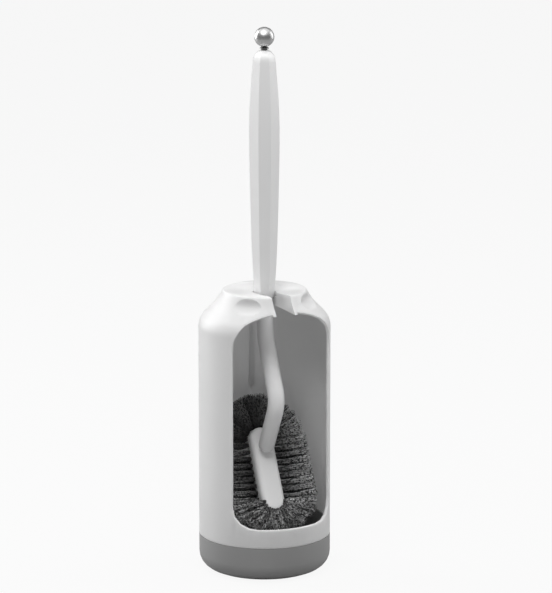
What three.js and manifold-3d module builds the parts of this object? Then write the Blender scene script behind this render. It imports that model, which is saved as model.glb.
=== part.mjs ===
// Toilet brush in a tall canister with an open front.
// Millimetres, +Z up. The canister's axis is the Z axis, the floor is z = 0 and the opening faces -Y.
import * as THREE from 'three';
import { mergeVertices } from 'three/addons/utils/BufferGeometryUtils.js';
import Module from 'manifold-3d';

const wasm = await Module();
wasm.setup();

// ---------------------------------------------------------------- driving dimensions
const gap = 0.3; // air between two pieces that touch

// canister
const bodyRadius = 54;
const wall = 2.5;
const seamHeight = 30; // top of the base's visible band
const deckHeight = 235; // flat top of the neck
const deckThickness = 3;
const dishDepth = 2.8; // the deck sinks this far towards its middle
const dishRim = 7; // from the dish to the deck's edge
const shoulderDrop = 31; // from the deck down to the start of the shoulder
const shoulderRadius = 17;
const deckInset = 19.8; // the deck's edge inside the body's side
const neckHollow = 50; // radius of the hollow curve from the shoulder up to the deck
const rimFillet = 1.2;

// front opening and slot
const jamb = 12.5; // from the opening's side to the body's side, seen from the front
const sillAboveSpigot = 4;
const sillCornerRadius = 14;
const archDrop = 12.8; // from the deck down to the top of the arch
const archCornerRadius = 21;
const archCornerRise = 25.5; // from the centre of the arch's corners to its top
const rolledEdge = 0.15; // how far the rolled edge stands out of the wall
const slotClearance = 0.6; // each side of the handle's end
const skirtDrop = 1; // the slot's skirt hangs this far below the arch
const skirtWall = 2.5;

// seat of the handle in the neck
const seatDepth = 6; // the handle's end below the deck
const seatRest = 1.2; // how far the handle's end is wider than the rod
const seatClearance = 0.5; // round the handle at the deck
const seatLedge = 3;
const rodClearance = 0.6;

// finger scoops beside the slot
const scoopReach = 13; // half sizes of the hollow: out from the deck's edge, round it, and up
const scoopHalfWidth = 24;
const scoopHalfHeight = 9.5;
const scoopDrop = 4; // centre of the hollow below the deck
const scoopAngle = 45;

// guide ribs on the back wall
const ribAngle = 11.6;
const ribLength = 59;
const ribTopDrop = 4; // below the start of the shoulder
const ribBottomWidth = 5;
const ribTopWidth = 2.6;
const ribHeight = 1.4;

// base
const baseEdgeRadius = 14;
const baseFloor = 2.5;
const spigotWall = 2.2;
const spigotRise = 12; // above the seam
const padStandOff = 0.8; // how far the pads hold the base off the floor
const padSink = 0.7;
const padRadius = 7;
const padInset = 3; // from a pad to the start of the base's round edge
const padCount = 4;

// handle
const handleLength = 203;
const handleWaistRadius = 9.1;
const handleWaistRise = 9; // waist above the handle's lower end
const handleBellyRadius = 13.2;
const handleBellyRise = 140;
const handleTopRadius = 9.9;
const domeRise = 10;
const plugShoulder = 1.4; // the plug's radius is this much less than the rod's
const plugLength = 26;

// finial
const ballRadius = 8.1;
const ballDepth = 5; // how deep the stud enters the ball
const studThreadRadius = 2;
const studShoulder = 0.6; // the stud's neck stands this far outside its thread
const studThreadLength = 9;
const washerRim = 1; // the washer stands this far outside the stud's neck
const washerThickness = 1.2;
const ballStandOff = 0.5; // ball above the washer

// rod
const rodRadius = 6.4; // at its upper end
const rodSwell = 0.6; // how much thicker it is at its thickest
const rodSwellPlace = 0.4; // share of its length from the upper end
const rodEndSwell = 0.3;
const rodLean = 2.5; // forward offset where the first bend starts
const rodTrim = 1; // cut off the leaning tube so that its top is level
const firstBendDrop = 36; // below the handle's end
const elbowForward = 26;
const elbowPlace = 0.46; // the elbow's place between the rod's end and the first bend
const bendSetback = 22; // length taken by a right-angle bend on each side of its corner
const rodPress = 0.9; // how much of the rod's round end is flattened on the core

// brush head
const headTilt = 28; // degrees, lower end forward
const headForward = 1.75;
const headHeight = 81.8;
const headClearance = 2.2; // from the tips to the opening's side
const coreHalfWidth = 10;
const coreStraight = 52; // between the centres of the round ends
const coreThickness = 15;
const coreEdge = 4.2;
const sideRows = 9;
const fanRows = 7;
const backRows = 7;
const rowGap = 0.5;
const bristleRootInset = 1; // from the core's back to the bristles on its edge
const bristleRootDepth = 7;
const bristleTipDepth = 18;
const bristleTipSet = 2; // the tips' middle in front of the roots' middle
const bottomRootDepth = 14;
const bottomReach = 28; // from the centre of the core's lower end to the lowest tips
const backReach = 30;
const backRootInset = 3; // from the core's edges to the bristles on its back
const backTipWidth = 20;
const rodSeatAlong = 19.4; // from the head's middle up to the rod's end
const screwRadius = 1.5;
const screwHeadRim = 1.4; // the screw's head stands this far outside its thread
const screwHeadThickness = 1.8;
const screwBite = 7; // length of the screw inside the rod
const screwClearance = 0.3;

// how finely round things are cut
const bodySegments = 64;
const smallSegments = 24;
const arcSteps = 3;

// ---------------------------------------------------------------- worked-out sizes
const shoulderStart = deckHeight - shoulderDrop;
const deckRadius = bodyRadius - deckInset;
const dishRadius = deckRadius - dishRim;
const dishSphere = (dishRadius ** 2 + dishDepth ** 2) / (2 * dishDepth);
const dishSpread = Math.asin(dishRadius / dishSphere);
const shellBottom = seamHeight + gap;
const spigotRadius = bodyRadius - wall - gap;
const spigotTop = seamHeight + spigotRise;
const padCircle = bodyRadius - baseEdgeRadius - padInset - padRadius;

const openingHalfWidth = bodyRadius - jamb;
const sillHeight = spigotTop + sillAboveSpigot;
const archTop = deckHeight - archDrop;
const skirtBottom = archTop - skirtDrop;
const springHeight = archTop - archCornerRise;
const beadRadius = wall / 2 + rolledEdge;

const handleEnd = deckHeight - seatDepth;
const handleEndRadius = rodRadius + seatRest;
const handleTop = handleEnd + handleLength;
const seatHeight = handleEnd - gap;
const seatHoleRadius = handleWaistRadius + seatClearance;
const slotHalfWidth = handleEndRadius + slotClearance;
const rodTop = handleEnd - gap;
const plugRadius = rodRadius - plugShoulder;
const rodEndRadius = rodRadius + rodEndSwell;

const studNeckRadius = studThreadRadius + studShoulder;
const washerRadius = studNeckRadius + washerRim;
const washerBottom = handleTop + gap;
const ballCentre = washerBottom + washerThickness + ballStandOff + ballRadius;

const headAngle = THREE.MathUtils.degToRad(90 - headTilt);
const coreStraightHalf = coreStraight / 2;
const bristleRoot = coreHalfWidth + gap;
const bristleReach = openingHalfWidth - headClearance;
const screwHeadRadius = screwRadius + screwHeadRim;
const screwSeat = -coreThickness / 2 + screwHeadThickness + gap;

// ---------------------------------------------------------------- helpers
// Drops normals and texture coordinates, merges shared corners and removes triangles with no area.
function closedMesh(geometry) {
  const bare = new THREE.BufferGeometry();
  bare.setAttribute('position', geometry.getAttribute('position').clone());
  if (geometry.index) bare.setIndex(geometry.index.clone());
  const merged = mergeVertices(bare, 1e-4);
  const corners = merged.index.array;
  const kept = [];
  for (let i = 0; i < corners.length; i += 3) {
    const [a, b, c] = [corners[i], corners[i + 1], corners[i + 2]];
    if (a !== b && b !== c && c !== a) kept.push(a, b, c);
  }
  merged.setIndex(kept);
  return merged;
}

function toSolid(geometry) {
  const mesh = closedMesh(geometry);
  return new wasm.Manifold(new wasm.Mesh({
    numProp: 3,
    vertProperties: new Float32Array(mesh.getAttribute('position').array),
    triVerts: new Uint32Array(mesh.index.array),
  }));
}

function toGeometry(solid) {
  const mesh = solid.getMesh();
  const geometry = new THREE.BufferGeometry();
  geometry.setAttribute('position', new THREE.BufferAttribute(mesh.vertProperties, 3));
  geometry.setIndex(new THREE.BufferAttribute(mesh.triVerts, 1));
  return geometry;
}

// Turns a profile of (radius, height) about the Z axis.
function turned(profile, segments) {
  const points = profile.getPoints(arcSteps);
  return new THREE.LatheGeometry(points, segments).rotateX(Math.PI / 2);
}

// Raises a plan-view outline from one height to another.
function raised(outline, low, high, steps = 12) {
  const geometry = new THREE.ExtrudeGeometry(outline, {
    depth: high - low, bevelEnabled: false, curveSegments: steps,
  });
  return geometry.translate(0, 0, low);
}

// Pushes a front-view outline of (x, z) from y = near towards -Y.
function pushedForward(outline, near, far, steps = 12) {
  const geometry = new THREE.ExtrudeGeometry(outline, {
    depth: near - far, bevelEnabled: false, curveSegments: steps,
  });
  return geometry.rotateX(Math.PI / 2).translate(0, near, 0);
}

// An upright cylinder between two heights.
function post(radius, low, high, segments = smallSegments) {
  const geometry = new THREE.CylinderGeometry(radius, radius, high - low, segments);
  return geometry.rotateX(Math.PI / 2).translate(0, 0, (low + high) / 2);
}

function rectangle(left, right, bottom, top) {
  const outline = new THREE.Shape();
  outline.moveTo(left, bottom);
  outline.lineTo(right, bottom);
  outline.lineTo(right, top);
  outline.lineTo(left, top);
  return outline;
}

function plastic(colour, roughness) {
  return new THREE.MeshStandardMaterial({ color: colour, roughness, metalness: 0 });
}

function metal(colour, roughness) {
  return new THREE.MeshStandardMaterial({ color: colour, roughness, metalness: 1 });
}

const object = new THREE.Group();

function addPiece(name, geometry, material, parent = object) {
  const piece = new THREE.Mesh(geometry, material);
  piece.name = name;
  parent.add(piece);
  return piece;
}

// ---------------------------------------------------------------- canister shell
// Outline of the canister from the axis at its foot to the axis at its top, moved inwards by inset.
function canisterProfile(inset, bottom, top) {
  const shoulderCentre = bodyRadius - shoulderRadius;
  const slope = Math.PI / 4;
  const shoulderEnd = shoulderCentre + shoulderStart + shoulderRadius * Math.SQRT2;
  const deckLean = Math.asin(1 - (deckRadius + deckHeight - shoulderEnd) / (Math.SQRT2 * neckHollow)) - slope;
  const hollowRadius = deckRadius + neckHollow * Math.cos(deckLean);
  const hollowHeight = deckHeight + neckHollow * Math.sin(deckLean);
  const rim = inset === 0 ? rimFillet : 0;
  const hollow = neckHollow + inset;
  const topLean = Math.asin((hollowHeight - top + rim) / (hollow + rim));
  const profile = new THREE.Path();
  profile.moveTo(0, bottom);
  profile.lineTo(bodyRadius - inset, bottom);
  profile.absarc(shoulderCentre, shoulderStart, shoulderRadius - inset, 0, slope, false);
  profile.absarc(hollowRadius, hollowHeight, hollow, Math.PI + slope, Math.PI + topLean, true);
  if (rim > 0) {
    const rimRadius = hollowRadius - (hollow + rim) * Math.cos(topLean);
    profile.absarc(rimRadius, top - rim, rim, topLean, Math.PI / 2, false);
  }
  profile.lineTo(dishRadius, top);
  profile.absarc(0, top - dishDepth + dishSphere, dishSphere, dishSpread - Math.PI / 2, -Math.PI / 2, true);
  return profile;
}

// Radius of the canister's mid-wall at a height.
const midWall = canisterProfile(wall / 2, shellBottom, deckHeight).getPoints(24).slice(1, -1);
function midWallRadius(height) {
  for (let i = 1; i < midWall.length; i += 1) {
    const [low, high] = [midWall[i - 1], midWall[i]];
    if (height <= high.y && high.y > low.y) {
      return THREE.MathUtils.mapLinear(height, low.y, high.y, low.x, high.x);
    }
  }
  return deckRadius - wall / 2;
}

// The front opening, drawn from the middle of its arch round by the right, the sill and the left.
// grow moves the whole outline outwards.
function openingOutline(Kind, grow) {
  const reach = openingHalfWidth - archCornerRadius;
  const crownRadius = (reach ** 2 + archCornerRise ** 2 - archCornerRadius ** 2)
    / (2 * (archCornerRise - archCornerRadius));
  const crownCentre = archTop - crownRadius;
  const tangent = Math.atan2(crownRadius - archCornerRise, reach);
  const sillReach = openingHalfWidth - sillCornerRadius;
  const sillCentre = sillHeight + sillCornerRadius;
  const crown = crownRadius + grow;
  const archCorner = archCornerRadius + grow;
  const sillCorner = sillCornerRadius + grow;
  const outline = new Kind();
  outline.absarc(0, crownCentre, crown, Math.PI / 2, tangent, true);
  outline.absarc(reach, springHeight, archCorner, tangent, 0, true);
  outline.absarc(sillReach, sillCentre, sillCorner, 0, -Math.PI / 2, true);
  outline.absarc(-sillReach, sillCentre, sillCorner, -Math.PI / 2, -Math.PI, true);
  outline.absarc(-reach, springHeight, archCorner, Math.PI, Math.PI - tangent, true);
  outline.absarc(0, crownCentre, crown, Math.PI - tangent, Math.PI / 2, true);
  return outline;
}

// Rounded edge of the opening: a bead along the middle of the wall, inside the wider cut.
function openingBead() {
  const count = 56;
  const spots = openingOutline(THREE.Path, beadRadius).getSpacedPoints(count);
  const points = spots.slice(1, -1).map(({ x, y: height }) => {
    const radius = midWallRadius(height);
    return new THREE.Vector3(x, -Math.sqrt(radius ** 2 - x ** 2), height);
  });
  const section = new THREE.Shape();
  section.absarc(0, 0, beadRadius, 0, 2 * Math.PI, false);
  return new THREE.ExtrudeGeometry(section, {
    steps: count, curveSegments: 4, bevelEnabled: false, extrudePath: new THREE.CatmullRomCurve3(points),
  });
}

// Hollow taken out of the neck's flank by one finger scoop. inset thickens it for the wall behind.
function scoopSpace(side, inset) {
  const hollow = new THREE.SphereGeometry(1, 40, 20);
  hollow.scale(scoopHalfWidth + inset, scoopReach + inset, scoopHalfHeight + inset);
  hollow.translate(0, -(deckRadius + scoopReach), deckHeight - scoopDrop);
  return toSolid(hollow.rotateZ(THREE.MathUtils.degToRad(side * scoopAngle)));
}

function slotOutline(inset) {
  const half = slotHalfWidth + inset;
  return rectangle(-half, half, -bodyRadius - 1, 0);
}

// One tapered rib on the inside of the back wall, with a round foot.
function guideRib(side) {
  const footRadius = ribBottomWidth / 2;
  const ribTop = shoulderStart - ribTopDrop;
  const outline = new THREE.Shape();
  outline.absarc(0, ribTop - ribLength + footRadius, footRadius, Math.PI, 2 * Math.PI, false);
  outline.lineTo(ribTopWidth / 2, ribTop);
  outline.lineTo(-ribTopWidth / 2, ribTop);
  const innerRadius = bodyRadius - wall;
  const rib = pushedForward(outline, innerRadius + wall / 2, innerRadius - ribHeight, 8);
  return toSolid(rib.rotateZ(THREE.MathUtils.degToRad(-side * ribAngle)));
}

function canisterShell() {
  const skirtTop = deckHeight + 1;
  const outside = toSolid(turned(canisterProfile(0, shellBottom, deckHeight), bodySegments));
  const collar = toSolid(post(seatHoleRadius + skirtWall, seatHeight - seatLedge, skirtTop, 48));
  const slotWalls = toSolid(raised(slotOutline(skirtWall), skirtBottom, skirtTop)).intersect(outside);
  let cavity = toSolid(turned(canisterProfile(wall, shellBottom - 1, deckHeight - deckThickness), bodySegments));
  for (const side of [-1, 1]) cavity = cavity.subtract(scoopSpace(side, wall));

  let shell = outside.subtract(cavity);
  shell = shell.subtract(toSolid(pushedForward(openingOutline(THREE.Shape, beadRadius), -1, -bodyRadius - 2)));
  shell = shell.add(toSolid(openingBead())).add(collar.intersect(outside)).add(slotWalls);
  for (const side of [-1, 1]) shell = shell.add(guideRib(side)).subtract(scoopSpace(side, 0));
  shell = shell.subtract(toSolid(raised(slotOutline(0), skirtBottom - 6, skirtTop)));
  shell = shell.subtract(toSolid(post(seatHoleRadius, seatHeight, skirtTop, 48)));
  return shell.subtract(toSolid(post(rodRadius + rodClearance, seatHeight - seatLedge - 1, skirtTop, 48)));
}

addPiece('canister_shell', toGeometry(canisterShell()), plastic(0xf1f1f0, 0.3));

// ---------------------------------------------------------------- base cup and its pads
function baseProfile() {
  const floorTop = padStandOff + baseFloor;
  const innerRadius = spigotRadius - spigotWall;
  const innerFillet = baseEdgeRadius - baseFloor;
  const lip = spigotWall / 2;
  const profile = new THREE.Path();
  profile.moveTo(0, padStandOff);
  profile.lineTo(bodyRadius - baseEdgeRadius, padStandOff);
  profile.absarc(bodyRadius - baseEdgeRadius, padStandOff + baseEdgeRadius, baseEdgeRadius, -Math.PI / 2, 0, false);
  profile.lineTo(bodyRadius, seamHeight);
  profile.lineTo(spigotRadius, seamHeight);
  profile.absarc(spigotRadius - lip, spigotTop - lip, lip, 0, Math.PI, false);
  profile.absarc(innerRadius - innerFillet, floorTop + innerFillet, innerFillet, 0, -Math.PI / 2, true);
  profile.lineTo(0, floorTop);
  return profile;
}

function padPlace(index) {
  const angle = THREE.MathUtils.degToRad(45 + (360 * index) / padCount);
  return [padCircle * Math.cos(angle), padCircle * Math.sin(angle)];
}

function baseCup() {
  let cup = toSolid(turned(baseProfile(), bodySegments));
  for (let i = 0; i < padCount; i += 1) {
    const pocket = post(padRadius + gap, padStandOff - 1, padStandOff + padSink, smallSegments);
    cup = cup.subtract(toSolid(pocket.translate(...padPlace(i), 0)));
  }
  return cup;
}

addPiece('base_cup', toGeometry(baseCup()), plastic(0x747474, 0.45));

for (let i = 0; i < padCount; i += 1) {
  const pad = post(padRadius, 0, padStandOff + padSink - gap, smallSegments);
  addPiece(`foot_pad_${i + 1}`, pad.translate(...padPlace(i), 0), plastic(0x2b2b2b, 0.85));
}

// ---------------------------------------------------------------- handle
// The brush slides in and out as one body, so its pieces share a group.
const brush = new THREE.Group();
object.add(brush);

function handleProfile() {
  const domeBase = handleTop - domeRise;
  const side = new THREE.SplineCurve([
    new THREE.Vector2(handleEndRadius, handleEnd),
    new THREE.Vector2(handleWaistRadius, handleEnd + handleWaistRise),
    new THREE.Vector2(THREE.MathUtils.lerp(handleWaistRadius, handleBellyRadius, 0.55),
      THREE.MathUtils.lerp(handleEnd + handleWaistRise, handleEnd + handleBellyRise, 0.3)),
    new THREE.Vector2(handleBellyRadius, handleEnd + handleBellyRise),
    new THREE.Vector2(handleTopRadius, domeBase),
  ]).getPoints(20);
  const dome = new THREE.EllipseCurve(0, domeBase, handleTopRadius, domeRise, 0, Math.PI / 2).getPoints(6);
  return [new THREE.Vector2(0, handleEnd), ...side, ...dome.slice(1, -1), new THREE.Vector2(0, handleTop)];
}

function handle() {
  const grip = toSolid(new THREE.LatheGeometry(handleProfile(), 8).rotateX(Math.PI / 2));
  const plugBore = post(plugRadius + gap, handleEnd - 1, rodTop + plugLength + gap);
  const studBore = post(studThreadRadius + gap, handleTop - studThreadLength - gap, handleTop + 1);
  return grip.subtract(toSolid(plugBore)).subtract(toSolid(studBore));
}

addPiece('handle', toGeometry(handle()), plastic(0xf0f0ef, 0.35), brush);

// ---------------------------------------------------------------- finial
function finialBall() {
  const ball = new THREE.SphereGeometry(ballRadius, 28, 18).rotateX(Math.PI / 2).translate(0, 0, ballCentre);
  const hole = post(studNeckRadius + gap, ballCentre - ballRadius - 1, ballCentre - ballRadius + ballDepth + gap);
  return toSolid(ball).subtract(toSolid(hole));
}

function finialStud() {
  const neckBottom = washerBottom + washerThickness + gap;
  const profile = new THREE.Path();
  profile.moveTo(0, handleTop - studThreadLength);
  profile.lineTo(studThreadRadius, handleTop - studThreadLength);
  profile.lineTo(studThreadRadius, neckBottom);
  profile.lineTo(studNeckRadius, neckBottom);
  profile.lineTo(studNeckRadius, ballCentre - ballRadius + ballDepth);
  profile.lineTo(0, ballCentre - ballRadius + ballDepth);
  return turned(profile, smallSegments);
}

function finialWasher() {
  const inner = studThreadRadius + gap;
  const top = washerBottom + washerThickness;
  const profile = new THREE.Path();
  profile.moveTo(inner, washerBottom);
  profile.lineTo(washerRadius, washerBottom);
  profile.lineTo(washerRadius, top);
  profile.lineTo(inner, top);
  profile.lineTo(inner, washerBottom);
  return turned(profile, smallSegments);
}

addPiece('finial_ball', toGeometry(finialBall()), metal(0xc9ccd0, 0.12), brush);
addPiece('finial_stud', finialStud(), metal(0x3c3d40, 0.35), brush);
addPiece('finial_washer', finialWasher(), metal(0x9a9da2, 0.25), brush);

// ---------------------------------------------------------------- rod
// Place of a point of the head: along is up its length, out is away from its front face.
const headUp = new THREE.Vector3(0, Math.cos(headAngle), Math.sin(headAngle));
const headOut = new THREE.Vector3(0, -Math.sin(headAngle), Math.cos(headAngle));
const headMiddle = new THREE.Vector3(0, -headForward, headHeight);
function headPlace(along, out) {
  return headMiddle.clone().addScaledVector(headUp, along).addScaledVector(headOut, out);
}

const rodEnd = headPlace(rodSeatAlong, coreThickness / 2 + rodEndRadius - rodPress);

// Straight runs joined by round bends.
function rodPath() {
  const firstBend = handleEnd - firstBendDrop;
  const corners = [
    new THREE.Vector3(0, 0, rodTop + rodTrim),
    new THREE.Vector3(0, -rodLean, firstBend),
    new THREE.Vector3(0, -elbowForward, THREE.MathUtils.lerp(rodEnd.z, firstBend, elbowPlace)),
    rodEnd,
  ];
  const path = new THREE.CurvePath();
  let start = corners[0];
  for (let i = 1; i < corners.length - 1; i += 1) {
    const into = corners[i].clone().sub(corners[i - 1]).normalize();
    const away = corners[i + 1].clone().sub(corners[i]).normalize();
    const setback = bendSetback * Math.tan(into.angleTo(away) / 2);
    const bendStart = corners[i].clone().addScaledVector(into, -setback);
    const bendEnd = corners[i].clone().addScaledVector(away, setback);
    path.add(new THREE.LineCurve3(start, bendStart));
    path.add(new THREE.QuadraticBezierCurve3(bendStart, corners[i], bendEnd));
    start = bendEnd;
  }
  path.add(new THREE.LineCurve3(start, rodEnd));
  return path;
}

// Everything behind the core's front face, with the gap, in the object's frame.
function behindCoreFace() {
  const depth = 40;
  const block = new THREE.BoxGeometry(60, 120, depth);
  block.translate(0, 0, coreThickness / 2 + gap - depth / 2);
  return block.rotateX(headAngle).translate(...headMiddle.toArray());
}

// A cylinder that stands on the head's front or back, between two distances from its middle plane.
function headPost(radius, along, low, high, segments = smallSegments) {
  const geometry = post(radius, low, high, segments);
  return geometry.translate(0, along, 0);
}

function placedOnHead(geometry) {
  return geometry.rotateX(headAngle).translate(...headMiddle.toArray());
}

// A round tube along a path in the plane x = 0, thickest part of the way down.
function swelledTube(path, steps, sides) {
  const across = new THREE.Vector3(1, 0, 0);
  const points = [];
  const faces = [];
  for (let i = 0; i <= steps; i += 1) {
    const share = i / steps;
    const swell = share < rodSwellPlace
      ? rodSwell * THREE.MathUtils.smoothstep(share, 0, rodSwellPlace)
      : THREE.MathUtils.lerp(rodSwell, rodEndSwell, THREE.MathUtils.smoothstep(share, rodSwellPlace, 1));
    const radius = rodRadius + swell;
    const centre = path.getPointAt(share);
    const beside = across.clone().cross(path.getTangentAt(share)).normalize();
    for (let k = 0; k < sides; k += 1) {
      const angle = (2 * Math.PI * k) / sides;
      const spot = centre.clone().addScaledVector(across, radius * Math.cos(angle));
      points.push(...spot.addScaledVector(beside, radius * Math.sin(angle)).toArray());
    }
  }
  for (let i = 0; i < steps; i += 1) {
    for (let k = 0; k < sides; k += 1) {
      const [a, b] = [i * sides + k, i * sides + ((k + 1) % sides)];
      faces.push(a, b + sides, b, a, a + sides, b + sides);
    }
  }
  for (let k = 1; k < sides - 1; k += 1) {
    faces.push(0, k, k + 1, steps * sides, steps * sides + k + 1, steps * sides + k);
  }
  const tube = new THREE.BufferGeometry();
  tube.setAttribute('position', new THREE.Float32BufferAttribute(points, 3));
  tube.setIndex(faces);
  return tube;
}

function rod() {
  const tube = swelledTube(rodPath(), 40, 24);
  const trim = post(rodRadius + 1, rodTop, rodTop + 2 * rodTrim);
  const end = new THREE.SphereGeometry(rodEndRadius, 24, 12).translate(...rodEnd.toArray());
  const plug = post(plugRadius, rodTop - 3, rodTop + plugLength);
  const tapped = headPost(screwRadius + screwClearance, rodSeatAlong, 0, coreThickness / 2 + screwBite + gap);
  return toSolid(tube).subtract(toSolid(trim)).add(toSolid(end)).add(toSolid(plug))
    .subtract(toSolid(behindCoreFace()))
    .subtract(toSolid(placedOnHead(tapped)));
}

addPiece('brush_rod', toGeometry(rod()), plastic(0xf0f0ef, 0.35), brush);

// ---------------------------------------------------------------- brush head
// In this group +Y runs up the head's length and +Z out of its front face.
const head = new THREE.Group();
head.position.copy(headMiddle);
head.rotation.x = headAngle;
brush.add(head);

function core() {
  const radius = coreHalfWidth - coreEdge;
  const outline = new THREE.Shape();
  outline.absarc(0, coreStraightHalf, radius, 0, Math.PI, false);
  outline.absarc(0, -coreStraightHalf, radius, Math.PI, 2 * Math.PI, false);
  const bar = new THREE.ExtrudeGeometry(outline, {
    depth: coreThickness - 2 * coreEdge,
    bevelThickness: coreEdge,
    bevelSize: coreEdge,
    bevelSegments: 5,
    curveSegments: 12,
  }).translate(0, 0, coreEdge - coreThickness / 2);
  const hole = headPost(screwRadius + screwClearance, rodSeatAlong, -coreThickness, coreThickness);
  const sinkRadius = screwHeadRadius + screwClearance;
  const sink = headPost(sinkRadius, rodSeatAlong, -coreThickness, screwSeat);
  return toSolid(bar).subtract(toSolid(hole)).subtract(toSolid(sink));
}

function coreScrew() {
  const headBottom = screwSeat - gap - screwHeadThickness;
  const profile = new THREE.Path();
  profile.moveTo(0, headBottom);
  profile.lineTo(screwHeadRadius, headBottom);
  profile.lineTo(screwHeadRadius, screwSeat - gap);
  profile.lineTo(screwRadius, screwSeat - gap);
  profile.lineTo(screwRadius, coreThickness / 2 + screwBite);
  profile.lineTo(0, coreThickness / 2 + screwBite);
  return turned(profile, 16).translate(0, rodSeatAlong, 0);
}

addPiece('brush_core', toGeometry(core()), plastic(0xeeeeed, 0.4), head);
addPiece('core_screw', coreScrew(), metal(0xa8abb0, 0.3), head);

// A block of bristles that grows along +X from the root to the tips, wider and deeper at the tips.
// rootMiddle and tipMiddle are the heights of its two ends' middles over the plane it grows in.
function bristleBlock(rootAt, tipAt, rootWidth, tipWidth, rootDepth, tipDepth, rootMiddle = 0, tipMiddle = 0) {
  const block = new THREE.BoxGeometry(1, 1, 1);
  const position = block.getAttribute('position');
  for (let i = 0; i < position.count; i += 1) {
    const isTip = position.getX(i) > 0;
    position.setXYZ(
      i,
      isTip ? tipAt : rootAt,
      position.getY(i) * (isTip ? tipWidth : rootWidth),
      position.getZ(i) * (isTip ? tipDepth : rootDepth) + (isTip ? tipMiddle : rootMiddle),
    );
  }
  return block;
}

const darkBristle = () => plastic(0x3a3a3a, 0.8);

// rows along the two long sides
const sidePitch = coreStraight / sideRows;
const rootMiddle = bristleRootInset + (bristleRootDepth - coreThickness) / 2;
const tipMiddle = rootMiddle + bristleTipSet;
for (const [sideName, turn] of [['right', 0], ['left', Math.PI]]) {
  for (let i = 0; i < sideRows; i += 1) {
    const width = sidePitch - rowGap;
    const row = bristleBlock(
      bristleRoot, bristleReach, width, width, bristleRootDepth, bristleTipDepth, rootMiddle, tipMiddle,
    );
    const along = coreStraightHalf - sidePitch * (i + 0.5);
    row.rotateZ(turn).translate(0, along, 0);
    addPiece(`bristle_${sideName}_${i + 1}`, row, darkBristle(), head);
  }
}

// rows that fan round the two ends
const fanStep = Math.PI / fanRows;
for (const [endName, end, depth] of [['top', 1, bristleRootDepth], ['bottom', -1, bottomRootDepth]]) {
  const endReach = end > 0 ? bristleReach : bottomReach;
  for (let i = 0; i < fanRows; i += 1) {
    const halfSpread = Math.tan(fanStep / 2);
    const turn = fanStep * (i + 0.5);
    const longest = 1 / Math.hypot(Math.cos(turn) / bristleReach, Math.sin(turn) / endReach);
    const reach = longest * Math.cos(fanStep / 2);
    const rootWidth = 2 * bristleRoot * halfSpread - rowGap;
    const tipWidth = 2 * reach * halfSpread - rowGap;
    const row = bristleBlock(
      bristleRoot, reach, rootWidth, tipWidth, depth, bristleTipDepth,
      rootMiddle + (depth - bristleRootDepth) / 2, tipMiddle,
    );
    row.rotateZ(end * turn).translate(0, end * coreStraightHalf, 0);
    addPiece(`bristle_${endName}_${i + 1}`, row, darkBristle(), head);
  }
}

// rows on the back, below the screw
const backTop = rodSeatAlong - screwHeadRadius - screwClearance - rowGap;
const backPitch = (backTop + coreStraightHalf) / backRows;
for (let i = 0; i < backRows; i += 1) {
  const width = backPitch - rowGap;
  const root = coreThickness / 2 + gap;
  const rootWidth = 2 * (coreHalfWidth - backRootInset);
  const row = bristleBlock(root, backReach, width, width, rootWidth, backTipWidth);
  row.rotateX(Math.PI / 2).rotateZ(Math.PI / 2).rotateX(-Math.PI / 2);
  row.translate(0, backTop - backPitch * (i + 0.5), 0);
  addPiece(`bristle_back_${i + 1}`, row, darkBristle(), head);
}

export default object;
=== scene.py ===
"""Toilet brush holder: finishes, tufted bristles, studio and camera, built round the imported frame."""

import math
import random

import bpy
from mathutils import Matrix, Vector


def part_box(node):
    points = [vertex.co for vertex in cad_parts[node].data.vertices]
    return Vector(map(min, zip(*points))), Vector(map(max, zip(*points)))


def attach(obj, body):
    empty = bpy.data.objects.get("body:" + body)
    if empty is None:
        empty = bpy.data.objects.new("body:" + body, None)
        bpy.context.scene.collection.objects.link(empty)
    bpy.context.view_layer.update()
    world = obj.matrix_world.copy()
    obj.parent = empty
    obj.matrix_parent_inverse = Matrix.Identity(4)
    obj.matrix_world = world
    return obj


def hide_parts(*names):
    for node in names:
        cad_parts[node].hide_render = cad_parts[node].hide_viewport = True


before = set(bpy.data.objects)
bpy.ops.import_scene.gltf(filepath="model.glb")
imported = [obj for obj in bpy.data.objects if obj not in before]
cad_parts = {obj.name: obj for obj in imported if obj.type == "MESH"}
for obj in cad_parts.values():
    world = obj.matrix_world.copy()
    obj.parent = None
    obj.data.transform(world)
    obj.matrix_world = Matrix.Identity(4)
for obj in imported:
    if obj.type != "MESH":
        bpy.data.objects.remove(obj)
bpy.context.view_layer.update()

MM = 0.001

# ---------------------------------------------------------------- camera
CAMERA_AZIMUTH = math.radians(-24)
CAMERA_AWAY = 2.917
CAMERA_RIGHT = 0.00941
CAMERA_HEIGHT = 0.883
CAMERA_PITCH = math.radians(90 - 12.645)
CAMERA_LENS = 222.6
CAMERA_SENSOR = 36
CAMERA_SIGHT = 50  # nothing past this distance is drawn


def aim_camera():
    data = bpy.data.cameras.new("studio_camera")
    data.lens = CAMERA_LENS
    data.sensor_width = CAMERA_SENSOR
    data.sensor_fit = "AUTO"
    data.clip_end = CAMERA_SIGHT
    camera = bpy.data.objects.new("studio_camera", data)
    bpy.context.scene.collection.objects.link(camera)
    sine, cosine = math.sin(CAMERA_AZIMUTH), math.cos(CAMERA_AZIMUTH)
    camera.location = (
        CAMERA_AWAY * sine + CAMERA_RIGHT * cosine,
        -CAMERA_AWAY * cosine + CAMERA_RIGHT * sine,
        CAMERA_HEIGHT,
    )
    camera.rotation_euler = (CAMERA_PITCH, 0, CAMERA_AZIMUTH)
    bpy.context.scene.camera = camera


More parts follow.
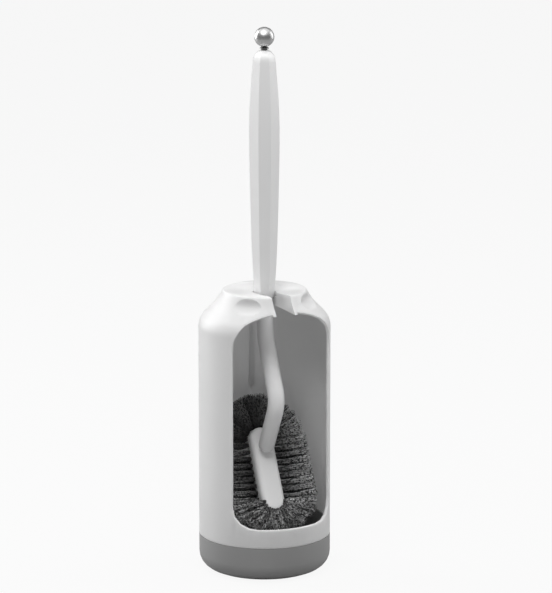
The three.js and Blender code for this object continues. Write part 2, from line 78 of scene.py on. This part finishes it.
# ---------------------------------------------------------------- studio
STUDIO_MIDDLE = Vector((0, 0, 0.22))  # what the lights point at
AIR_BRIGHTNESS = 0.15
FLOOR_HALF = 9.0
FLOOR_GREY = 0.42
FLOOR_ROUGHNESS = 0.9
FLOOR_GLOW_SHARE = 0.92  # how much of what the camera sees of the floor is an even glow


def seen_from_camera(right, toward, up):
    """A place given as the camera stands: to its right, towards it, and up from the floor."""
    sine, cosine = math.sin(CAMERA_AZIMUTH), math.cos(CAMERA_AZIMUTH)
    return Vector((right * cosine + toward * sine, right * sine - toward * cosine, up))


def softbox(name, place, width, height, watts):
    data = bpy.data.lights.new(name, "AREA")
    data.shape = "RECTANGLE"
    data.size = width
    data.size_y = height
    data.energy = watts
    light = bpy.data.objects.new(name, data)
    bpy.context.scene.collection.objects.link(light)
    light.location = place
    light.rotation_euler = (STUDIO_MIDDLE - place).to_track_quat("-Z", "Y").to_euler()


def light_studio():
    softbox("left_softbox", seen_from_camera(-1.2, -0.62, 0.7), width=0.8, height=1.3, watts=14.5)
    softbox("right_softbox", seen_from_camera(1.35, -0.45, 0.75), width=0.8, height=1.3, watts=9)
    softbox("top_softbox", seen_from_camera(0.0, 0.2, 1.75), width=2.4, height=2.4, watts=20)
    softbox("front_softbox", seen_from_camera(-0.25, 0.9, 1.85), width=0.9, height=0.9, watts=15)

    world = bpy.data.worlds.new("studio_air")
    bpy.context.scene.world = world
    world.use_nodes = True
    background = world.node_tree.nodes["Background"]
    background.inputs["Color"].default_value = (1, 1, 1, 1)
    background.inputs["Strength"].default_value = AIR_BRIGHTNESS
    bpy.context.scene.view_settings.view_transform = "Standard"


def pale_floor():
    mesh = bpy.data.meshes.new("studio_floor")
    corners = [(x * FLOOR_HALF, y * FLOOR_HALF, 0) for x, y in ((-1, -1), (1, -1), (1, 1), (-1, 1))]
    mesh.from_pydata(corners, [], [(0, 1, 2, 3)])
    floor = bpy.data.objects.new("studio_floor", mesh)
    bpy.context.scene.collection.objects.link(floor)
    material, nodes, links, surface = new_finish("floor_paper")
    surface.inputs["Base Color"].default_value = (*grey(FLOOR_GREY), 1)
    surface.inputs["Roughness"].default_value = FLOOR_ROUGHNESS
    glow = nodes.new("ShaderNodeEmission")
    glow.inputs["Color"].default_value = (1, 1, 1, 1)
    path = nodes.new("ShaderNodeLightPath")
    share = maths(material.node_tree, "MULTIPLY", path.outputs["Is Camera Ray"], FLOOR_GLOW_SHARE)
    blend = nodes.new("ShaderNodeMixShader")
    links.new(share, blend.inputs[0])
    links.new(surface.outputs[0], blend.inputs[1])
    links.new(glow.outputs[0], blend.inputs[2])
    links.new(blend.outputs[0], nodes["Material Output"].inputs["Surface"])
    mesh.materials.append(material)


# ---------------------------------------------------------------- shared effects
def new_effect(name, inputs, outputs):
    """An empty shader group with named sockets. Inputs are (name, kind, value), outputs (name, kind)."""
    group = bpy.data.node_groups.new(name, "ShaderNodeTree")
    for label, kind, value in inputs:
        socket = group.interface.new_socket(name=label, in_out="INPUT", socket_type=kind)
        socket.default_value = value
    for label, kind in outputs:
        group.interface.new_socket(name=label, in_out="OUTPUT", socket_type=kind)
    return group, group.nodes.new("NodeGroupInput"), group.nodes.new("NodeGroupOutput")


def maths(tree, operation, first, second=None):
    """A Math node. Each value is a socket or a number."""
    node = tree.nodes.new("ShaderNodeMath")
    node.operation = operation
    for slot, value in enumerate((first, second)):
        if isinstance(value, (int, float)):
            node.inputs[slot].default_value = value
        elif value is not None:
            tree.links.new(value, node.inputs[slot])
    return node.outputs[0]


def moulding_grain_effect():
    """Fine skin of moulded plastic, with broad soft waves under it."""
    group, given, made = new_effect(
        "Moulding grain",
        [
            ("Grain", "NodeSocketFloat", 1500.0),
            ("Waves", "NodeSocketFloat", 17.0),
            ("Wave Share", "NodeSocketFloat", 0.5),
        ],
        [("Height", "NodeSocketFloat"), ("Patches", "NodeSocketFloat")],
    )
    place = group.nodes.new("ShaderNodeTexCoord")
    fine = group.nodes.new("ShaderNodeTexNoise")
    fine.inputs["Detail"].default_value = 2
    broad = group.nodes.new("ShaderNodeTexNoise")
    broad.inputs["Detail"].default_value = 1
    for noise, scale in ((fine, "Grain"), (broad, "Waves")):
        group.links.new(place.outputs["Object"], noise.inputs["Vector"])
        group.links.new(given.outputs[scale], noise.inputs["Scale"])
    waves = maths(group, "MULTIPLY", broad.outputs[0], given.outputs["Wave Share"])
    group.links.new(maths(group, "ADD", fine.outputs[0], waves), made.inputs["Height"])
    group.links.new(broad.outputs[0], made.inputs["Patches"])
    return group


def painted_edge_highlight_effect():
    """Mask of a painted highlight along the edges: where a rounded edge's normal leaves the face's."""
    group, given, made = new_effect(
        "Painted edge highlight",
        [("Width", "NodeSocketFloat", 0.001), ("Strength", "NodeSocketFloat", 4.0)],
        [("Mask", "NodeSocketFloat")],
    )
    rounded = group.nodes.new("ShaderNodeBevel")
    rounded.samples = 4
    group.links.new(given.outputs["Width"], rounded.inputs["Radius"])
    face = group.nodes.new("ShaderNodeNewGeometry")
    turn = group.nodes.new("ShaderNodeVectorMath")
    turn.operation = "DOT_PRODUCT"
    group.links.new(rounded.outputs[0], turn.inputs[0])
    group.links.new(face.outputs["Normal"], turn.inputs[1])
    bend = maths(group, "SUBTRACT", 1.0, turn.outputs["Value"])
    bend = maths(group, "MULTIPLY", bend, given.outputs["Strength"])
    clear = group.nodes.new("ShaderNodeClamp")
    group.links.new(bend, clear.inputs["Value"])
    group.links.new(clear.outputs[0], made.inputs["Mask"])
    return group


def settled_dust_effect():
    """Mask of faint dust on what faces up, broken into soft patches."""
    group, given, made = new_effect(
        "Settled dust",
        [("Patch Size", "NodeSocketFloat", 60.0), ("Amount", "NodeSocketFloat", 0.2)],
        [("Mask", "NodeSocketFloat")],
    )
    place = group.nodes.new("ShaderNodeTexCoord")
    patches = group.nodes.new("ShaderNodeTexNoise")
    patches.inputs["Detail"].default_value = 4
    group.links.new(place.outputs["Object"], patches.inputs["Vector"])
    group.links.new(given.outputs["Patch Size"], patches.inputs["Scale"])
    face = group.nodes.new("ShaderNodeNewGeometry")
    split = group.nodes.new("ShaderNodeSeparateXYZ")
    group.links.new(face.outputs["Normal"], split.inputs[0])
    upward = maths(group, "MAXIMUM", split.outputs["Z"], 0.0)
    heap = maths(group, "MULTIPLY", upward, patches.outputs[0])
    group.links.new(maths(group, "MULTIPLY", heap, given.outputs["Amount"]), made.inputs["Mask"])
    return group


moulding_grain = moulding_grain_effect()
painted_edge_highlight = painted_edge_highlight_effect()
settled_dust = settled_dust_effect()


# ---------------------------------------------------------------- finishes
def new_finish(name):
    material = bpy.data.materials.new(name)
    material.use_nodes = True
    tree = material.node_tree
    return material, tree.nodes, tree.links, tree.nodes["Principled BSDF"]


def place_effect(tree, effect, **values):
    node = tree.nodes.new("ShaderNodeGroup")
    node.node_tree = effect
    for label, value in values.items():
        node.inputs[label.replace("_", " ")].default_value = value
    return node


def mix_colour(tree, factor, first, second):
    node = tree.nodes.new("ShaderNodeMix")
    node.data_type = "RGBA"
    tree.links.new(factor, node.inputs["Factor"])
    for label, value in (("A", first), ("B", second)):
        socket = next(s for s in node.inputs if s.name == label and s.type == "RGBA")
        if isinstance(value, tuple):
            socket.default_value = (*value, 1)
        else:
            tree.links.new(value, socket)
    return next(s for s in node.outputs if s.type == "RGBA")


def grey(value):
    return (value, value, value)


EDGE_HIGHLIGHT_WIDTH = 0.8 * MM  # how far from an edge the painted highlight reaches
EDGE_HIGHLIGHT_STRENGTH = 3.0
DUST_GREY = 0.6
GLOSS_SPREAD = 0.12  # how much a moulding's roughness varies in all
SKIN_DEPTH = 0.2 * MM


# edge is the grey of a painted highlight laid along every edge
def moulded_plastic(name, light, shaded, edge, roughness, bump, dust=0.1):
    """Moulded plastic: a fine skin, soft patches in its gloss, a painted highlight that lightens its
    edges, and faint dust.
    """
    material, nodes, links, surface = new_finish(name)
    tree = material.node_tree
    skin = place_effect(tree, moulding_grain)
    edge_highlight_node = place_effect(tree, painted_edge_highlight, Width=EDGE_HIGHLIGHT_WIDTH, Strength=EDGE_HIGHLIGHT_STRENGTH)
    dusty = place_effect(tree, settled_dust, Amount=dust)
    tone = mix_colour(tree, skin.outputs["Patches"], grey(shaded), grey(light))
    # painted highlight: the edge grey lightens each edge along the mask
    edge_highlighted = mix_colour(tree, edge_highlight_node.outputs["Mask"], tone, grey(edge))
    dusted = mix_colour(tree, dusty.outputs["Mask"], edge_highlighted, grey(DUST_GREY))
    links.new(dusted, surface.inputs["Base Color"])
    gloss = maths(tree, "MULTIPLY", skin.outputs["Patches"], GLOSS_SPREAD)
    gloss = maths(tree, "ADD", gloss, roughness - GLOSS_SPREAD / 2)
    links.new(maths(tree, "ADD", gloss, dusty.outputs["Mask"]), surface.inputs["Roughness"])
    relief = nodes.new("ShaderNodeBump")
    relief.inputs["Strength"].default_value = bump
    relief.inputs["Distance"].default_value = SKIN_DEPTH
    links.new(skin.outputs["Height"], relief.inputs["Height"])
    links.new(relief.outputs[0], surface.inputs["Normal"])
    return material


def shell_plastic():
    """White moulding thin enough for some light to pass into it."""
    material = moulded_plastic("shell_plastic", 0.76, 0.74, edge=0.84, roughness=0.42, bump=0.04)
    surface = material.node_tree.nodes["Principled BSDF"]
    surface.inputs["Subsurface Weight"].default_value = 0.8
    surface.inputs["Subsurface Radius"].default_value = (1, 1, 1)
    surface.inputs["Subsurface Scale"].default_value = 5 * MM
    return material


def base_plastic():
    return moulded_plastic("base_plastic", 0.32, 0.3, edge=0.38, roughness=0.5, bump=0.15, dust=0.05)


def handle_plastic():
    return moulded_plastic("handle_plastic", 0.92, 0.9, edge=0.95, roughness=0.3, bump=0.02)


def rod_plastic():
    return moulded_plastic("rod_plastic", 0.94, 0.92, edge=0.95, roughness=0.36, bump=0.03)


def core_plastic():
    return moulded_plastic("core_plastic", 0.94, 0.92, edge=0.95, roughness=0.42, bump=0.05)


def pad_rubber():
    return moulded_plastic("pad_rubber", 0.06, 0.05, edge=0.09, roughness=0.8, bump=0.2)


RING_WAVER = 0.4
RING_GLOSS = 0.06  # how much the rings vary the metal's roughness
RING_BUMP = 0.03
RING_DEPTH = 0.1 * MM
METAL_SHADE = 0.92  # the darker patches' share of the metal's grey


def turned_metal(name, light, roughness, rings_per_metre):
    """Turned metal, its gloss varied by fine rings round the part's axis."""
    material, nodes, links, surface = new_finish(name)
    tree = material.node_tree
    surface.inputs["Metallic"].default_value = 1.0
    place = nodes.new("ShaderNodeTexCoord")
    rings = nodes.new("ShaderNodeTexWave")
    rings.bands_direction = "Z"
    rings.inputs["Scale"].default_value = rings_per_metre
    rings.inputs["Distortion"].default_value = RING_WAVER
    links.new(place.outputs["Object"], rings.inputs["Vector"])
    skin = place_effect(tree, moulding_grain, Grain=900.0, Waves=120.0)
    tone = mix_colour(tree, skin.outputs["Patches"], grey(light * METAL_SHADE), grey(light))
    links.new(tone, surface.inputs["Base Color"])
    gloss = maths(tree, "MULTIPLY", rings.outputs[0], RING_GLOSS)
    links.new(maths(tree, "ADD", gloss, roughness), surface.inputs["Roughness"])
    relief = nodes.new("ShaderNodeBump")
    relief.inputs["Strength"].default_value = RING_BUMP
    relief.inputs["Distance"].default_value = RING_DEPTH
    links.new(rings.outputs[0], relief.inputs["Height"])
    links.new(relief.outputs[0], surface.inputs["Normal"])
    return material


def ball_chrome():
    """Plating with a satin polish."""
    return turned_metal("ball_chrome", 0.62, roughness=0.36, rings_per_metre=300.0)


def stud_steel():
    return turned_metal("stud_steel", 0.12, roughness=0.4, rings_per_metre=900.0)


def washer_steel():
    return turned_metal("washer_steel", 0.35, roughness=0.3, rings_per_metre=900.0)


def screw_steel():
    return turned_metal("screw_steel", 0.55, roughness=0.3, rings_per_metre=900.0)


SPECKLE_SCALE = 620
SPECKLE_FROM, SPECKLE_TO = 0.42, 0.53  # the narrower this span, the harder the specks
# the pale end of the specks is a painted glint as well as random tone
NYLON_DARK, NYLON_SPECK_GLINT = 0.02, 1.0
NYLON_ROUGHNESS = 0.35
NYLON_ROUGHNESS_SPREAD = 0.2


def bristle_nylon():
    """Dark nylon: each filament has its own tone, scaled by its row's painted light; it is broken into
    pale specks, random tone that also stands as painted glints, and darkens to its root as painted shade.
    """
    material, nodes, links, surface = new_finish("bristle_nylon")
    tree = material.node_tree
    tone = nodes.new("ShaderNodeAttribute")
    tone.attribute_name = "filament_tone_and_painted_light"
    along = nodes.new("ShaderNodeAttribute")
    along.attribute_name = "filament_along"
    place = nodes.new("ShaderNodeTexCoord")
    speckle = nodes.new("ShaderNodeTexNoise")
    speckle.inputs["Scale"].default_value = SPECKLE_SCALE
    speckle.inputs["Detail"].default_value = 1
    links.new(place.outputs["Object"], speckle.inputs["Vector"])
    contrast = nodes.new("ShaderNodeMapRange")
    contrast.inputs["From Min"].default_value = SPECKLE_FROM
    contrast.inputs["From Max"].default_value = SPECKLE_TO
    links.new(speckle.outputs[0], contrast.inputs["Value"])
    # specks times the filament tone, which carries the row's painted light; the pale specks are partly
    # painted glints
    lit = maths(tree, "MULTIPLY", contrast.outputs[0], tone.outputs["Fac"])
    body = mix_colour(tree, lit, grey(NYLON_DARK), grey(NYLON_SPECK_GLINT))
    # painted shade: each filament darkens to the dark nylon grey at its root
    root_painted_shade = mix_colour(tree, along.outputs["Fac"], grey(NYLON_DARK), body)
    links.new(root_painted_shade, surface.inputs["Base Color"])
    gloss = maths(tree, "MULTIPLY", tone.outputs["Fac"], NYLON_ROUGHNESS_SPREAD)
    links.new(maths(tree, "ADD", gloss, NYLON_ROUGHNESS), surface.inputs["Roughness"])
    return material


# ---------------------------------------------------------------- solids that keep their shape
WELD_DISTANCE = 2e-6


def smooth_moulding(limit):
    """Welds a solid's triangles and shades them smooth, with edges sharper than the limit kept crisp."""
    group = bpy.data.node_groups.new("Smooth moulding", "GeometryNodeTree")
    group.interface.new_socket(name="Geometry", in_out="INPUT", socket_type="NodeSocketGeometry")
    group.interface.new_socket(name="Geometry", in_out="OUTPUT", socket_type="NodeSocketGeometry")
    nodes, links = group.nodes, group.links
    given, made = nodes.new("NodeGroupInput"), nodes.new("NodeGroupOutput")
    plain = nodes.new("GeometryNodeRemoveAttribute")
    plain.inputs["Name"].default_value = "custom_normal"
    weld = nodes.new("GeometryNodeMergeByDistance")
    weld.inputs["Distance"].default_value = WELD_DISTANCE
    faces = nodes.new("GeometryNodeSetShadeSmooth")
    faces.domain = "FACE"
    edges = nodes.new("GeometryNodeSetShadeSmooth")
    edges.domain = "EDGE"
    angle = nodes.new("GeometryNodeInputMeshEdgeAngle")
    flat_enough = nodes.new("FunctionNodeCompare")
    flat_enough.operation = "LESS_THAN"
    flat_enough.inputs["B"].default_value = math.radians(limit)
    links.new(angle.outputs["Unsigned Angle"], flat_enough.inputs["A"])
    links.new(flat_enough.outputs[0], edges.inputs["Shade Smooth"])
    links.new(given.outputs[0], plain.inputs["Geometry"])
    links.new(plain.outputs[0], weld.inputs["Geometry"])
    links.new(weld.outputs[0], faces.inputs["Geometry"])
    links.new(faces.outputs[0], edges.inputs["Geometry"])
    links.new(edges.outputs[0], made.inputs[0])
    return group


def finish_solids_as(names, material, crease=32):
    """Gives the named solids a finish. Edges that turn more than the crease, in degrees, stay sharp."""
    moulding = smooth_moulding(crease)
    for name in names:
        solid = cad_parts[name]
        solid.data.materials[0] = material
        modifier = solid.modifiers.new("smooth_moulding", "NODES")
        modifier.node_group = moulding


def finish_solids():
    finish_solids_as(["canister_shell"], shell_plastic())
    finish_solids_as(["base_cup"], base_plastic())
    finish_solids_as([f"foot_pad_{i}" for i in range(1, 5)], pad_rubber())
    finish_solids_as(["handle"], handle_plastic(), crease=20)
    finish_solids_as(["finial_ball"], ball_chrome(), crease=40)
    finish_solids_as(["finial_stud"], stud_steel(), crease=40)
    finish_solids_as(["finial_washer"], washer_steel(), crease=40)
    finish_solids_as(["brush_rod"], rod_plastic(), crease=45)
    finish_solids_as(["brush_core"], core_plastic(), crease=40)
    finish_solids_as(["core_screw"], screw_steel(), crease=40)


# ---------------------------------------------------------------- bristles
HEAD_TURN = math.radians(62)  # from lying flat, face up, to the head's own tilt
CORE_STRAIGHT_HALF = 26 * MM
CORE_FACE = 7.4 * MM  # from the core's middle plane to its face
SIDE_ROWS = 9
FAN_ROWS = 7
BACK_ROWS = 7

FILAMENT_RADIUS = 0.26 * MM
FILAMENT_TAPER = 0.25
FILAMENT_STEPS = 9
FILAMENT_SIDES = 3
FILAMENT_BOW = 0.35 * MM
FILAMENT_TONE = 0.6  # the most that a filament's tone adds to its tuft's
CRIMP_REACH = 0.3 * MM  # how far a filament swings to each side of its own line
CRIMP_LENGTH = 4.4 * MM
CRIMP_START = 3  # the crimp reaches its full swing at one part in this many of the length

TUFT_HOLE = 0.55  # a tuft's share of its place at the core
TUFT_SPREAD = 0.56  # half of its share at the tips, a little over its own place
TUFT_SCATTER = 0.06
TIP_EDGE = 0.01  # tips stay this share inside the row's outline
LENGTH_SCATTER = 0.09

FACE_TUFTS = 4  # in each fan row
FACE_TUFT_FILAMENTS = 24
FACE_TUFT_RADIUS = 0.9 * MM
FACE_TUFT_SINK = 0.6 * MM
FACE_TUFT_SWAY = 0.05

head_low, head_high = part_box("brush_core")
head_place = Matrix.Translation((head_low + head_high) / 2) @ Matrix.Rotation(HEAD_TURN, 4, "X")


def bristle_block(node, across):
    """The root and tip corners of a bristle solid, by the side of the block that each is on."""
    to_head = head_place.inverted()
    corners = {tuple(round(c, 6) for c in to_head @ v.co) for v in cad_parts[node].data.vertices}
    corners = [Vector(c) for c in sorted(corners)]

    def from_spine(corner):
        beyond = max(abs(corner.y) - CORE_STRAIGHT_HALF, 0)
        return math.hypot(corner.x, beyond) if across.z else -corner.z

    corners.sort(key=from_spine)
    root, tip = corners[:4], corners[4:]
    root_middle, tip_middle = sum(root, Vector()) / 4, sum(tip, Vector()) / 4
    growth = (tip_middle - root_middle).normalized()
    beside = growth.cross(across)

    def ordered(four, middle):
        found = {}
        for corner in four:
            away = corner - middle
            found[(away.dot(beside) > 0, away.dot(across) > 0)] = corner
        return found

    return ordered(root, root_middle), ordered(tip, tip_middle)


def inside(four, u, v):
    """The point at shares u and v between four corners."""
    low = four[(False, False)].lerp(four[(True, False)], u)
    high = four[(False, True)].lerp(four[(True, True)], u)
    return low.lerp(high, v)


def in_disc(chance):
    """A random place in a disc of radius 1."""
    angle, reach = chance.uniform(0, math.tau), math.sqrt(chance.random())
    return reach * math.cos(angle), reach * math.sin(angle)


def tip_share(index, offset, spread, count, chance):
    """Where a filament's tip lies across a row's tips, for the tuft with this index out of count."""
    share = (index + 0.5 + TUFT_SPREAD * offset * spread + chance.gauss(0, TUFT_SCATTER)) / count
    return min(max(share, TIP_EDGE), 1 - TIP_EDGE)


def grow_tufts(root, tip, columns, rows, count, light, chance):
    """Filaments of one row: each tuft leaves its own hole and opens out to its share of the tips. light
    is the row's painted light or shade, which scales each tuft's tone.
    """
    filaments = []
    for column in range(columns):
        for row in range(rows):
            # painted light: the row's factor lightens or darkens every tuft's random tone
            tone = light * chance.uniform(0.1, 0.9)
            for _ in range(count):
                x, y = in_disc(chance)
                start = inside(
                    root,
                    (column + 0.5 + 0.5 * TUFT_HOLE * x) / columns,
                    (row + 0.5 + 0.5 * TUFT_HOLE * y) / rows,
                )
                spread = chance.uniform(0.9, 1.0)
                end = inside(
                    tip,
                    tip_share(column, x, spread, columns, chance),
                    tip_share(row, y, spread, rows, chance),
                )
                end = start.lerp(end, 1 - LENGTH_SCATTER * chance.random() ** 2)
                filaments.append(filament(start, end, tone, light, chance))
    return filaments


def filament(start, end, tone, light, chance):
    """One filament: its ends, its bow, its crimp (turn, start, share of the full swing) and its tone."""
    bow = Vector([chance.gauss(0, FILAMENT_BOW) for _ in range(3)])
    crimp = (chance.uniform(0, math.tau), chance.uniform(0, math.tau), chance.uniform(0.4, 1.0))
    # the tone a filament adds is scaled by the row's painted light too
    return start, end, bow, crimp, min(tone + FILAMENT_TONE * light * chance.random() ** 1.5, 1)


def grow_face_tufts(i, chance):
    """Tufts of one fan row that leave the core's face at its lower end and lean down over its edge."""
    filaments = []
    for _ in range(FACE_TUFTS):
        turn = math.pi * (i - 1 + chance.random()) / FAN_ROWS
        hole = Vector((-math.cos(turn), -math.sin(turn), 0)) * chance.uniform(7.2, 9.6) * MM
        hole.y -= CORE_STRAIGHT_HALF
        tone = chance.uniform(0.1, 1.0)
        for _ in range(FACE_TUFT_FILAMENTS):
            x, y = in_disc(chance)
            start = hole + Vector((x, y, 0)) * FACE_TUFT_RADIUS
            start.z = CORE_FACE - FACE_TUFT_SINK
            lean = turn + chance.gauss(0, FACE_TUFT_SWAY)
            reach = chance.uniform(13, 26.5) * MM
            end = Vector((-math.cos(lean) * reach, -math.sin(lean) * reach - CORE_STRAIGHT_HALF, 0))
            end.z = chance.uniform(7.5, 10.4) * MM
            filaments.append(filament(start, end, tone, 1, chance))
    return filaments


def filament_mesh(name, filaments):
    """Slender three-sided filaments that taper at the tip, with each one's tone kept on its points."""
    points, faces, tones, alongs = [], [], [], []
    for start, end, bow, (crimp_turn, crimp_start, crimp_share), tone in filaments:
        length = (end - start).length
        growth = (end - start).normalized()
        side = growth.orthogonal().normalized()
        other = growth.cross(side)
        swing = CRIMP_REACH * crimp_share * (math.cos(crimp_turn) * side + math.sin(crimp_turn) * other)
        first = len(points)
        for step in range(FILAMENT_STEPS + 1):
            share = step / FILAMENT_STEPS
            wave = math.sin(crimp_start + math.tau * share * length / CRIMP_LENGTH)
            wave *= min(CRIMP_START * share, 1)
            middle = start.lerp(end, share) + bow * (4 * share * (1 - share)) + swing * wave
            radius = FILAMENT_RADIUS * (1 - FILAMENT_TAPER * share)
            for k in range(FILAMENT_SIDES):
                angle = math.tau * k / FILAMENT_SIDES
                around = math.cos(angle) * side + math.sin(angle) * other
                points.append(head_place @ (middle + radius * around))
                tones.append(tone)
                alongs.append(share)
        for step in range(FILAMENT_STEPS):
            for k in range(FILAMENT_SIDES):
                a = first + step * FILAMENT_SIDES + k
                b = first + step * FILAMENT_SIDES + (k + 1) % FILAMENT_SIDES
                faces.append((a, b, b + FILAMENT_SIDES, a + FILAMENT_SIDES))
        last = first + FILAMENT_STEPS * FILAMENT_SIDES
        faces.append((first + 2, first + 1, first))
        faces.append((last, last + 1, last + 2))
    mesh = bpy.data.meshes.new(name)
    mesh.from_pydata(points, [], faces)
    for label, values in (("filament_tone_and_painted_light", tones), ("filament_along", alongs)):
        mesh.attributes.new(label, "FLOAT", "POINT").data.foreach_set("value", values)
    mesh.shade_smooth()
    return mesh


def plant_row(node, across, nylon, chance, columns, rows, count, light, more=()):
    """Swaps one bristle solid for its tufts: columns by rows of them, with count filaments in each, their
    tones scaled by the painted light factor light.
    """
    root, tip = bristle_block(node, across)
    filaments = grow_tufts(root, tip, columns, rows, count, light, chance)
    filaments.extend(more)
    name = node.replace("bristle", "tufts")
    piece = bpy.data.objects.new(name, filament_mesh(name, filaments))
    bpy.context.scene.collection.objects.link(piece)
    piece.data.materials.append(nylon)
    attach(piece, "brush")
    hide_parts(node)


def plant_bristles():
    """Tufts for every bristle solid. Each row's tone is scaled by a painted light factor fixed on the
    piece: right rows 1.15, left rows 1.0, the fan round the upper end darkening from right to left (0.9
    falling to 0.4), the lower fan 1.15 and the back rows 0.7.
    """
    nylon = bristle_nylon()
    chance = random.Random(24)
    out, right = Vector((0, 0, 1)), Vector((1, 0, 0))
    # painted light: right rows are painted lighter (1.15) than left rows (1.0)
    for side, light in (("right", 1.15), ("left", 1.0)):
        for i in range(1, SIDE_ROWS + 1):
            plant_row(f"bristle_{side}_{i}", out, nylon, chance, columns=1, rows=4, count=34, light=light)
    # painted shade: the upper fan is painted from 0.9 at the right down to 0.4 at the left
    for i in range(1, FAN_ROWS + 1):
        light = max(1.1 - 0.2 * i, 0.4)
        plant_row(f"bristle_top_{i}", out, nylon, chance, columns=2, rows=4, count=26, light=light)
    # painted light: the lower fan is painted lighter (1.15)
    for i in range(1, FAN_ROWS + 1):
        face_tufts = grow_face_tufts(i, chance)
        plant_row(
            f"bristle_bottom_{i}", out, nylon, chance,
            columns=2, rows=4, count=28, light=1.15, more=face_tufts,
        )
    # painted shade: the back rows are painted darker (0.7)
    for i in range(1, BACK_ROWS + 1):
        plant_row(f"bristle_back_{i}", right, nylon, chance, columns=1, rows=3, count=36, light=0.7)


aim_camera()
light_studio()
pale_floor()
finish_solids()
plant_bristles()
